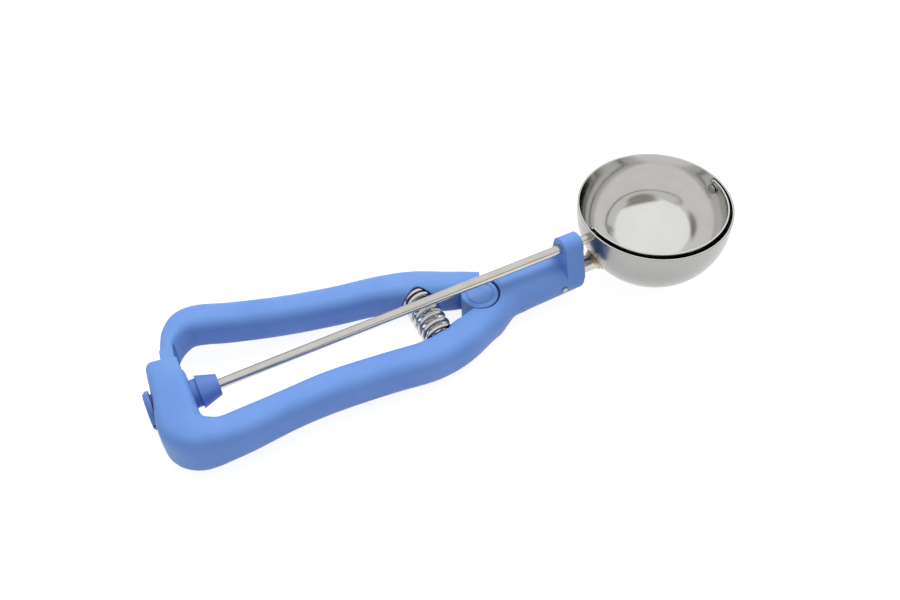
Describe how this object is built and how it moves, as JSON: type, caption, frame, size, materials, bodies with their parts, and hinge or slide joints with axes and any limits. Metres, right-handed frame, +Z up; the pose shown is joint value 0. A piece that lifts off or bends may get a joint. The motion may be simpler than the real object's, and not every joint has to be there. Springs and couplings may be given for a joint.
{
  "type": "lever ice cream scoop",
  "caption": "Lever ice cream scoop: squeezing the sprung lever to the handle slides a rack that turns a rod and swings a wiper through the round bowl.",
  "frame": {"origin": "on the table, under the middle of the scoop lying open", "axes": "+X from the handle's butt to the bowl, +Y from the fixed arm to the lever, +Z up out of the bowl"},
  "size_m": [0.2268, 0.0636, 0.0356],
  "materials": {
    "polished_steel": "polished stainless steel",
    "steel": "satin stainless steel",
    "spring_steel": "bright spring wire",
    "braze": "silver braze, slightly yellow",
    "handle_plastic": "matte moulded blue",
    "pinion_plastic": "matte moulded blue"
  },
  "bodies": {
    "handle": {"bowl": "polished_steel", "bowl_tube": "steel", "braze_fillet": "braze", "tube_pin": "steel", "wiper_rivet": "steel", "main_handle": "handle_plastic", "return_spring": "spring_steel"},
    "lever": {"lever": "handle_plastic"},
    "drive": {"drive_rod": "steel", "pinion": "pinion_plastic", "wiper": "polished_steel"}
  },
  "joints": [
    {"name": "squeeze", "type": "hinge", "parent": "handle", "child": "lever", "pos_m": [0.0117, -0.0032, 0.0076], "axis": [-0.0941, 0, 0.9956], "range_deg": [0, 6.9], "stiffness_Nm_per_rad": 0.6, "springref_deg": -11.46, "deforming": ["return_spring"]},
    {"name": "rod_spin", "type": "hinge", "parent": "handle", "child": "drive", "pos_m": [0.08405, -0.0032, 0.0285], "axis": [0.9956, 0, 0.0941], "range_deg": [0, 173.2]}
  ],
  "couplings": [
    {"joint": "rod_spin", "follows": "squeeze", "ratio": 25.1}
  ]
}
